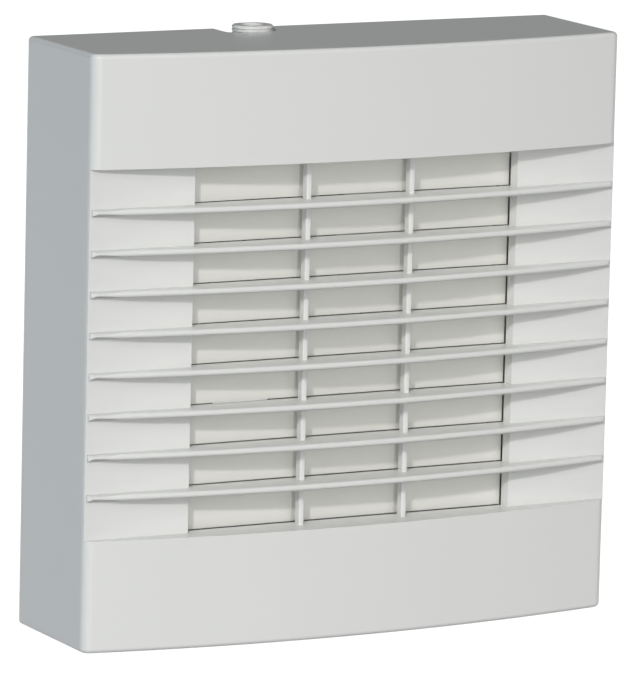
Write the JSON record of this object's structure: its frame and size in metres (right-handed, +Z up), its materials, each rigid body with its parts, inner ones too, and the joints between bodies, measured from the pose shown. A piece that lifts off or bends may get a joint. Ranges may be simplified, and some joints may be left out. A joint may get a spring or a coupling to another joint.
{
  "type": "bathroom extractor fan",
  "caption": "Square wall extractor fan with a bowed louvred cover, an automatic shutter behind it, and a round duct spigot that holds a motor and an axial impeller.",
  "frame": {"origin": "on the duct spigot's axis, in the plane of the wall that the back plate rests on", "axes": "+X to the right as seen from the room, +Y into the wall along the duct, +Z up"},
  "size_m": [0.164, 0.105, 0.1665],
  "materials": {
    "cover_plastic": "moulded gloss white",
    "plate_plastic": "moulded satin white",
    "shutter_plastic": "satin white",
    "impeller_plastic": "glass-filled dark grey",
    "bracket_plastic": "black moulding",
    "terminal_plastic": "natural nylon",
    "bobbin_plastic": "natural nylon",
    "gasket_foam": "closed-cell foam",
    "zinc_steel": "zinc plated",
    "lamination_steel": "varnished laminations",
    "bracket_alloy": "die cast",
    "cage_alloy": "cast",
    "bearing_bronze": "sintered bronze",
    "terminal_brass": "bright",
    "copper_wire": "enamelled copper",
    "spring_steel": "drawn wire",
    "shaft_steel": "ground",
    "actuator_metal": "plated can",
    "wire_sleeve": "insulated wire"
  },
  "bodies": {
    "housing": {"front_cover": "cover_plastic", "cover_screw": "zinc_steel", "back_plate": "plate_plastic", "duct_spigot": "plate_plastic", "wall_gasket": "gasket_foam", "cable_entry_grommet": "cover_plastic", "shutter_frame": "shutter_plastic", "shutter_frame_screws": "zinc_steel", "actuator_body": "actuator_metal", "return_spring": "spring_steel", "actuator_bracket": "bracket_plastic", "actuator_bracket_screws": "zinc_steel", "actuator_leads": "wire_sleeve", "stator_core": "lamination_steel", "shading_rings": "copper_wire", "coil_bobbin": "bobbin_plastic", "motor_coil": "copper_wire", "front_bearing_bracket": "bracket_alloy", "rear_bearing_bracket": "bracket_alloy", "front_bearing": "bearing_bronze", "rear_bearing": "bearing_bronze", "motor_screws": "zinc_steel", "terminal_block": "terminal_plastic", "terminal_inserts": "terminal_brass", "terminal_screws": "zinc_steel", "terminal_block_screws": "zinc_steel", "cable_clamp": "plate_plastic", "cable_clamp_screws": "zinc_steel", "motor_leads": "wire_sleeve"},
    "fan": {"impeller": "impeller_plastic", "impeller_clip": "spring_steel", "motor_shaft": "shaft_steel", "rotor_core": "lamination_steel", "rotor_cage": "cage_alloy", "thrust_washers": "bobbin_plastic"},
    "blade_1": {"shutter_blade_1": "shutter_plastic"},
    "blade_2": {"shutter_blade_2": "shutter_plastic"},
    "blade_3": {"shutter_blade_3": "shutter_plastic"},
    "blade_4": {"shutter_blade_4": "shutter_plastic"},
    "blade_5": {"shutter_blade_5": "shutter_plastic"},
    "blade_6": {"shutter_blade_6": "shutter_plastic"},
    "blade_7": {"shutter_blade_7": "shutter_plastic"},
    "blade_8": {"shutter_blade_8": "shutter_plastic"},
    "blade_9": {"shutter_blade_9": "shutter_plastic"},
    "link": {"shutter_link_bar": "bracket_plastic"},
    "plunger": {"actuator_plunger": "shaft_steel"}
  },
  "joints": [
    {"name": "fan_spin", "type": "hinge", "parent": "housing", "child": "fan", "pos_m": [0, 0.02, 0], "axis": [0, 1, 0], "continuous": true},
    {"name": "blade_1_swing", "type": "hinge", "parent": "housing", "child": "blade_1", "pos_m": [0, -0.035, 0.04919], "axis": [1, 0, 0], "range_deg": [0, 65]},
    {"name": "blade_2_swing", "type": "hinge", "parent": "housing", "child": "blade_2", "pos_m": [0, -0.035, 0.03797], "axis": [1, 0, 0], "range_deg": [0, 65]},
    {"name": "blade_3_swing", "type": "hinge", "parent": "housing", "child": "blade_3", "pos_m": [0, -0.035, 0.02675], "axis": [1, 0, 0], "range_deg": [0, 65]},
    {"name": "blade_4_swing", "type": "hinge", "parent": "housing", "child": "blade_4", "pos_m": [0, -0.035, 0.01553], "axis": [1, 0, 0], "range_deg": [0, 65]},
    {"name": "blade_5_swing", "type": "hinge", "parent": "housing", "child": "blade_5", "pos_m": [0, -0.035, 0.00431], "axis": [1, 0, 0], "range_deg": [0, 65]},
    {"name": "blade_6_swing", "type": "hinge", "parent": "housing", "child": "blade_6", "pos_m": [0, -0.035, -0.00691], "axis": [1, 0, 0], "range_deg": [0, 65]},
    {"name": "blade_7_swing", "type": "hinge", "parent": "housing", "child": "blade_7", "pos_m": [0, -0.035, -0.01813], "axis": [1, 0, 0], "range_deg": [0, 65]},
    {"name": "blade_8_swing", "type": "hinge", "parent": "housing", "child": "blade_8", "pos_m": [0, -0.035, -0.02935], "axis": [1, 0, 0], "range_deg": [0, 65]},
    {"name": "blade_9_swing", "type": "hinge", "parent": "housing", "child": "blade_9", "pos_m": [0, -0.035, -0.04057], "axis": [1, 0, 0], "range_deg": [0, 65]},
    {"name": "link_pivot", "type": "hinge", "parent": "blade_1", "child": "link", "pos_m": [0.058, -0.02825, 0.04489], "axis": [1, 0, 0], "range_deg": [-65, 0]},
    {"name": "plunger_slide", "type": "slide", "parent": "housing", "child": "plunger", "axis": [0, 0, 1], "range_m": [0, 0.00859], "stiffness_N_per_m": 150, "springref_m": -0.008, "deforming": ["return_spring"]}
  ],
  "couplings": [
    {"joint": "blade_1_swing", "follows": "plunger_slide", "rad_per_m": 131.96},
    {"joint": "blade_2_swing", "follows": "plunger_slide", "rad_per_m": 131.96},
    {"joint": "blade_3_swing", "follows": "plunger_slide", "rad_per_m": 131.96},
    {"joint": "blade_4_swing", "follows": "plunger_slide", "rad_per_m": 131.96},
    {"joint": "blade_5_swing", "follows": "plunger_slide", "rad_per_m": 131.96},
    {"joint": "blade_6_swing", "follows": "plunger_slide", "rad_per_m": 131.96},
    {"joint": "blade_7_swing", "follows": "plunger_slide", "rad_per_m": 131.96},
    {"joint": "blade_8_swing", "follows": "plunger_slide", "rad_per_m": 131.96},
    {"joint": "blade_9_swing", "follows": "plunger_slide", "rad_per_m": 131.96},
    {"joint": "link_pivot", "follows": "plunger_slide", "rad_per_m": -131.96}
  ]
}
